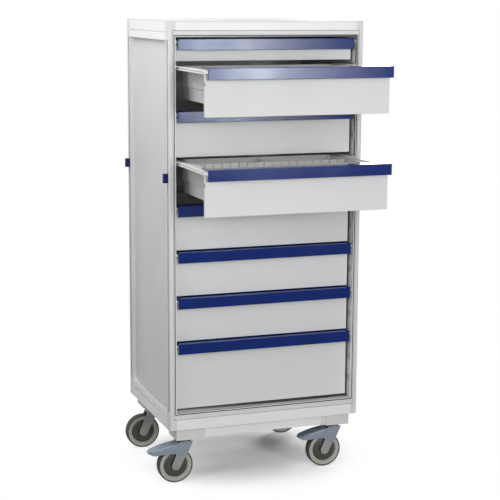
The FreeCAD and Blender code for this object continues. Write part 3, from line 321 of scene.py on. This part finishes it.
def turn_outline(sketch, outline, centre, upright=False, steps=96):
    """Turn a closed outline of (distance along the axis, radius), in millimetres.

    The axis is the wheel's, which runs front to back, or upright.
    """
    rings = []
    for step in range(steps):
        angle = 2 * math.pi * step / steps
        ring = []
        for along, radius in outline:
            across = Vector((radius * math.cos(angle), 0, radius * math.sin(angle)))
            if upright:
                across = Vector((across.x, across.z, 0))
            axis = Vector((0, 0, along)) if upright else Vector((0, along, 0))
            ring.append(sketch.verts.new(centre + (across + axis) / 1000))
        rings.append(ring)
    for ring, following in zip(rings, rings[1:] + rings[:1]):
        for index in range(len(outline)):
            beside = (index + 1) % len(outline)
            sketch.faces.new((ring[index], ring[beside], following[beside], following[index]))


def turn_sleeve(sketch, near, far, bore, radius, centre, steps):
    """A plain sleeve along the wheel's axis, in millimetres."""
    turn_outline(sketch, [(near, bore), (far, bore), (far, radius), (near, radius)], centre,
                 steps=steps)


def push_outline(sketch, outline, near, far, centre):
    """Push a closed outline of (x, z) points, in millimetres, from one depth to another."""
    ends = []
    for depth in (near, far):
        ends.append([sketch.verts.new(centre + Vector((x, depth, z)) / 1000) for x, z in outline])
    sketch.faces.new(ends[0])
    sketch.faces.new(ends[1])
    for index in range(len(outline)):
        beside = (index + 1) % len(outline)
        sketch.faces.new((ends[0][index], ends[0][beside], ends[1][beside], ends[1][index]))


def both_sides(outline):
    """The outline of one side of a wheel, closed by its mirror image."""
    return outline + [(-along, radius) for along, radius in reversed(outline)]


# ---------------------------------------------------------------- casters, in millimetres

# Sections as (distance from the wheel's middle, radius)
RIM = both_sides([(9.0, 42.4), (9.0, 44.6), (13.9, 44.9), (14.7, 45.8), (14.8, 49.9), (13.2, 50.3),
                  (13.2, 51.5), (14.9, 51.9), (15.0, 56.6), (14.3, 57.5), (11.0, 57.5),
                  (11.0, 50.1)])
COVER = both_sides([(18.2, 5.2), (18.2, 11.2), (17.4, 12.0), (13.9, 12.2), (14.3, 16), (14.3, 20),
                    (14.1, 26), (13.7, 32), (13.0, 37), (12.2, 40.4), (11.2, 41.9), (8.0, 42.3)])
TYRE = both_sides([(10.9, 50.2), (10.9, 57.6), (15.1, 57.7), (15.6, 58.2), (15.9, 58.8),
                   (15.8, 60.0), (15.2, 61.1), (14.2, 61.9), (12.6, 62.35), (10.5, 62.5)])
RIVET = [(18.6, 1.5), (22.9, 1.5), (23.3, 2.6), (23.3, 5.2), (22.9, 6.2), (22.3, 6.6),
         (22.3, 5.0), (18.6, 5.0)]
# The swivel's head as (height over the axle, radius)
HEAD = [(76, 7), (76, 22), (84.2, 22), (84.8, 21.2), (86.2, 21.2), (86.8, 22), (91.4, 22),
        (92.7, 20.8), (92.7, 6.3), (80, 6.3)]
# The fork's leg and bridge as (x, z) from the axle
LEG_RADIUS = 16
LEG_TOP = [(58, 80), (18, 80)]
LEG = [(LEG_RADIUS * math.cos(math.radians(angle)), LEG_RADIUS * math.sin(math.radians(angle)))
       for angle in range(-205, -24, 5)] + LEG_TOP
BRIDGE = [(15.6, 72), (55.1, 72)] + LEG_TOP
# Distances from the wheel's middle, and radii
LEG_FACES = (18.5, 22.5)
BRIDGE_REACH = 19.5
AXLE_END, AXLE_BORE, AXLE_RADIUS = 18.9, 1.5, 4.9
PIN_ROOT, PIN_END, PIN_BORE, PIN_RADIUS = 21.5, 25.3, 1, 3.9
# Each gripping ridge under the pedal's toe: (place before the axle, half the toe's width there)
RIDGES = ((-83, 18), (-77.5, 20), (-72, 21))
RIDGE_LENGTH = 9
RIDGE_ROOT, RIDGE_ROOT_HALF = 46, 1.2
RIDGE_TIP, RIDGE_TIP_HALF = 41.8, 0.8
# Rounded edges, in metres
FINE_EDGE = 0.0003
RIDGE_EDGE = 0.0005
FORK_EDGE = 0.0013
PEDAL_EDGE = 0.0016


def make_wheel(caster):
    body = caster + "_wheel"
    for name, outline, slot, material, replaced in (
            ("rim", RIM, "wheel_core", None, caster + "_core"),
            ("cover", COVER, "wheel_core", COVER_PLASTIC, None),
            ("tread", TYRE, "tyre", None, caster + "_tyre")):
        sketch = bmesh.new()
        turn_outline(sketch, outline, PIVOT[body])
        mesh = finish_mesh(caster + "_" + name, sketch)
        piece = add_piece(mesh.name, mesh, body, slot, material, replaced)
        round_edges(piece, FINE_EDGE, 1, 40)


def make_fork(caster, pedal):
    """The bent fork, and its head, axle and rivets, with pins for the pedal if there is one."""
    body = caster + "_swivel"
    axle = PIVOT[caster + "_wheel"]
    sketch = bmesh.new()
    for side in (-1, 1):
        push_outline(sketch, LEG, LEG_FACES[0] * side, LEG_FACES[1] * side, axle)
    push_outline(sketch, BRIDGE, -BRIDGE_REACH, BRIDGE_REACH, axle)
    mesh = finish_mesh(caster + "_frame", sketch)
    piece = add_piece(mesh.name, mesh, body, "fork_steel", None, caster + "_fork")
    round_edges(piece, FORK_EDGE, 3, 40)
    sketch = bmesh.new()
    turn_outline(sketch, HEAD, Vector((PIVOT[body].x, axle.y, axle.z)), upright=True, steps=64)
    for side in (-1, 1):
        turn_outline(sketch, [(along * side, radius) for along, radius in RIVET], axle, steps=48)
        if pedal:
            turn_sleeve(sketch, PIN_ROOT * side, PIN_END * side, PIN_BORE, PIN_RADIUS,
                        PIVOT[pedal], 32)
    turn_sleeve(sketch, -AXLE_END, AXLE_END, AXLE_BORE, AXLE_RADIUS, axle, 48)
    mesh = finish_mesh(caster + "_bearing", sketch)
    piece = add_piece(mesh.name, mesh, body, "fork_steel")
    round_edges(piece, FINE_EDGE, 1, 40)


def make_pedal(pedal, caster):
    """The pedal's own solid with broad rounded edges, and gripping ridges under its toe."""
    piece = add_piece(pedal + "_lever", nodes[pedal].data.copy(), pedal, "pedal", None, pedal)
    join_facets(piece)
    round_edges(piece, PEDAL_EDGE, 3)
    sketch = bmesh.new()
    for place, half_width in RIDGES:
        outline = [(place - RIDGE_ROOT_HALF, RIDGE_ROOT), (place + RIDGE_ROOT_HALF, RIDGE_ROOT),
                   (place + RIDGE_TIP_HALF, RIDGE_TIP), (place - RIDGE_TIP_HALF, RIDGE_TIP)]
        for side in (-1, 1):
            push_outline(sketch, outline, side * half_width, side * (half_width - RIDGE_LENGTH),
                         PIVOT[caster + "_wheel"])
    mesh = finish_mesh(pedal + "_ridges", sketch)
    piece = add_piece(mesh.name, mesh, pedal, "pedal")
    round_edges(piece, RIDGE_EDGE)


# ---------------------------------------------------------------- black plugs in the drawer fronts' slots, as painted shade, in millimetres

SLOT_DROP = 29                # from the front's top edge to its slots
PLUG_PLAY = 0.3              # between a slot's top and its plug
PLUG_HEIGHT = 11.4
PLUG_DEPTHS = (6.3, 13.7)    # behind the front's face
PLUG_SINK = 0.2              # of the plug's own face below the folded side
PLUG_BACK = 4


def make_slot_shade_plugs(number):
    """Black plugs in the slots of a drawer front's folded sides, as painted shade in the slots."""
    low, high = (Vector(corner) * 1000 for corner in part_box("drawer_%d_front" % number))
    top = high.z - SLOT_DROP - PLUG_PLAY
    bottom = top - PLUG_HEIGHT
    sketch = bmesh.new()
    for side in (-1, 1):
        back, face = side * (high.x - PLUG_BACK), side * (high.x - PLUG_SINK)
        push_outline(sketch, [(back, bottom), (face, bottom), (face, top), (back, top)],
                     low.y + PLUG_DEPTHS[0], low.y + PLUG_DEPTHS[1], Vector((0, 0, 0)))
    mesh = finish_mesh("drawer_%d_catches" % number, sketch)
    piece = add_piece(mesh.name, mesh, "drawer_%d" % number, "clip", SLOT_SHADE_BLACK)
    round_edges(piece, FINE_EDGE, 1)


for number in DRAWERS:
    make_slot_shade_plugs(number)
for side in ("left", "right"):
    pedal = "brake_pedal_" + side
    front, rear = "caster_front_" + side, "caster_rear_" + side
    for caster in (front, rear):
        make_wheel(caster)
        make_fork(caster, pedal if caster == front else None)
    make_pedal(pedal, front)


# ---------------------------------------------------------------- stage, light and camera

FLOOR_HALF_SIZE = 30
FLOOR_TONE = (0.25, 0.25, 0.25)    # for the light that the floor sends back
FLOOR_SEEN = (1.5, 1.5, 1.5)       # where the floor is seen
SHADOW_REACH = (0.18, 0.50)        # from the origin to where the floor turns white
AMBIENT = 0.15


def seen_directly(tree):
    """A value of 1 for camera, glossy and transmission rays, and 0 for the rest."""
    path = add_node(tree, "ShaderNodeLightPath")
    total = path.outputs["Is Camera Ray"]
    for ray in ("Is Glossy Ray", "Is Transmission Ray"):
        larger = add_node(tree, "ShaderNodeMath", operation="MAXIMUM")
        tree.links.new(total, larger.inputs[0])
        tree.links.new(path.outputs[ray], larger.inputs[1])
        total = larger.outputs[0]
    return total


def make_floor():
    """A pale floor with the object's shadow, which fades into white away from the object.

    The white and the lighter tone are only for rays that see the floor. It lights the object as
    a plain floor of FLOOR_TONE does.
    """
    mesh = bpy.data.meshes.new("floor")
    sketch = bmesh.new()
    bmesh.ops.create_grid(sketch, x_segments=1, y_segments=1, size=FLOOR_HALF_SIZE)
    sketch.to_mesh(mesh)
    sketch.free()
    floor = bpy.data.objects.new("floor", mesh)
    bpy.context.scene.collection.objects.link(floor)
    material = bpy.data.materials.new("pale_floor")
    material.use_nodes = True
    tree = material.node_tree
    tree.nodes.clear()
    seen = seen_directly(tree)
    tone = add_node(tree, "ShaderNodeMix", data_type="RGBA")
    tone.inputs["A"].default_value = (*FLOOR_TONE, 1)
    tone.inputs["B"].default_value = (*FLOOR_SEEN, 1)
    tree.links.new(seen, tone.inputs["Factor"])
    matt = add_node(tree, "ShaderNodeBsdfDiffuse")
    tree.links.new(tone.outputs["Result"], matt.inputs["Color"])
    paper = add_node(tree, "ShaderNodeEmission")
    place = add_node(tree, "ShaderNodeTexCoord")
    reach = add_node(tree, "ShaderNodeVectorMath", operation="LENGTH")
    tree.links.new(place.outputs["Object"], reach.inputs[0])
    far = add_node(tree, "ShaderNodeMapRange", interpolation_type="SMOOTHSTEP")
    far.inputs["From Min"].default_value, far.inputs["From Max"].default_value = SHADOW_REACH
    tree.links.new(reach.outputs["Value"], far.inputs["Value"])
    share = add_node(tree, "ShaderNodeMath", operation="MULTIPLY")
    tree.links.new(far.outputs["Result"], share.inputs[0])
    tree.links.new(seen, share.inputs[1])
    blend = add_node(tree, "ShaderNodeMixShader")
    tree.links.new(share.outputs["Value"], blend.inputs["Fac"])
    tree.links.new(matt.outputs["BSDF"], blend.inputs[1])
    tree.links.new(paper.outputs["Emission"], blend.inputs[2])
    output = add_node(tree, "ShaderNodeOutputMaterial")
    tree.links.new(blend.outputs["Shader"], output.inputs["Surface"])
    mesh.materials.append(material)


def make_world():
    """White to the camera and to reflections, and a softer fill for everything else."""
    world = bpy.data.worlds.new("studio")
    bpy.context.scene.world = world
    world.use_nodes = True
    tree = world.node_tree
    background = tree.nodes["Background"]
    background.inputs["Color"].default_value = (*WHITE, 1)
    strength = add_node(tree, "ShaderNodeMapRange")
    strength.inputs["To Min"].default_value = AMBIENT
    strength.inputs["To Max"].default_value = 1.0
    tree.links.new(seen_directly(tree), strength.inputs["Value"])
    tree.links.new(strength.outputs["Result"], background.inputs["Strength"])


def make_softbox(name, place, target, width, height, power, color=WHITE, gloss_of=None):
    """A rectangular lamp; with gloss_of, it only shows in the gloss of that collection."""
    light = bpy.data.lights.new(name, "AREA")
    light.shape = "RECTANGLE"
    light.size = width
    light.size_y = height
    light.energy = power
    light.color = color
    lamp = bpy.data.objects.new(name, light)
    lamp.location = place
    aim = Vector(target) - Vector(place)
    lamp.rotation_mode = "QUATERNION"
    lamp.rotation_quaternion = aim.to_track_quat("-Z", "Y")
    lamp.visible_camera = False
    if gloss_of:
        lamp.visible_diffuse = False
        lamp.light_linking.receiver_collection = gloss_of
    bpy.context.scene.collection.objects.link(lamp)


def make_sheen(depth=-4.7, level=1.58, height=1.34, color=(0.88, 0.97, 1.0)):
    """The sheen on the grip strips, from upright lamps: strong on their left, faint elsewhere."""
    strips = bpy.data.collections.new("grip_strips")
    for number in DRAWERS:
        strips.objects.link(nodes["drawer_%d_grip" % number])
    for left, right, power in ((1.16, 1.45, 118), (1.45, 1.80, 4), (1.96, 2.30, 2)):
        middle = (left + right) / 2
        make_softbox("sheen_%d" % (left * 100), (middle, depth, level), (middle, 0, level),
                     right - left, height, power, color, strips)


def make_camera():
    """The photograph's view: from the front left, a little above the middle."""
    place = Vector((-1.70215, -4.81099, 1.67511))
    yaw, pitch, roll = (math.radians(angle) for angle in (19.8455, 10.0248, 0.3034))
    forward = Vector((math.sin(yaw) * math.cos(pitch), math.cos(yaw) * math.cos(pitch),
                      -math.sin(pitch)))
    right = Vector((math.cos(yaw), -math.sin(yaw), 0))
    up = right.cross(forward)
    across = right * math.cos(roll) + up * math.sin(roll)
    upward = up * math.cos(roll) - right * math.sin(roll)
    camera = bpy.data.cameras.new("camera")
    camera.sensor_width = 36
    camera.lens = 102.62
    camera.clip_start = 0.1
    camera.clip_end = 200
    holder = bpy.data.objects.new("camera", camera)
    turn = Matrix((across, upward, -forward)).transposed()
    holder.matrix_world = Matrix.Translation(place) @ turn.to_4x4()
    bpy.context.scene.collection.objects.link(holder)
    bpy.context.scene.camera = holder


make_floor()
make_world()
make_softbox("key", (-0.9, -3.2, 1.9), (0, -0.3, 1.3), 1.8, 1.0, 22)
make_softbox("front_left", (-1.6, -4.6, 1.0), (0, -0.3, 0.6), 2.5, 1.8, 29)
make_softbox("front_right", (1.56, -4.75, 1.43), (0, -0.3, 1.1), 0.8, 1.25, 64)
make_softbox("left_front", (-2.2, -1.2, 1.8), (0, 0, 1.3), 1.0, 1.0, 13)
make_softbox("left", (-1.1, 0.1, 2.5), (-0.35, 0, 1.6), 0.8, 1.0, 16)
make_softbox("overhead", (0.3, -0.2, 3.6), (0, 0, 0), 3.0, 3.0, 22)
make_softbox("back", (2.2, 2.8, 1.9), (0, 0, 0.9), 1.5, 1.5, 45)
make_sheen()
make_camera()
bpy.context.scene.view_settings.view_transform = "Standard"
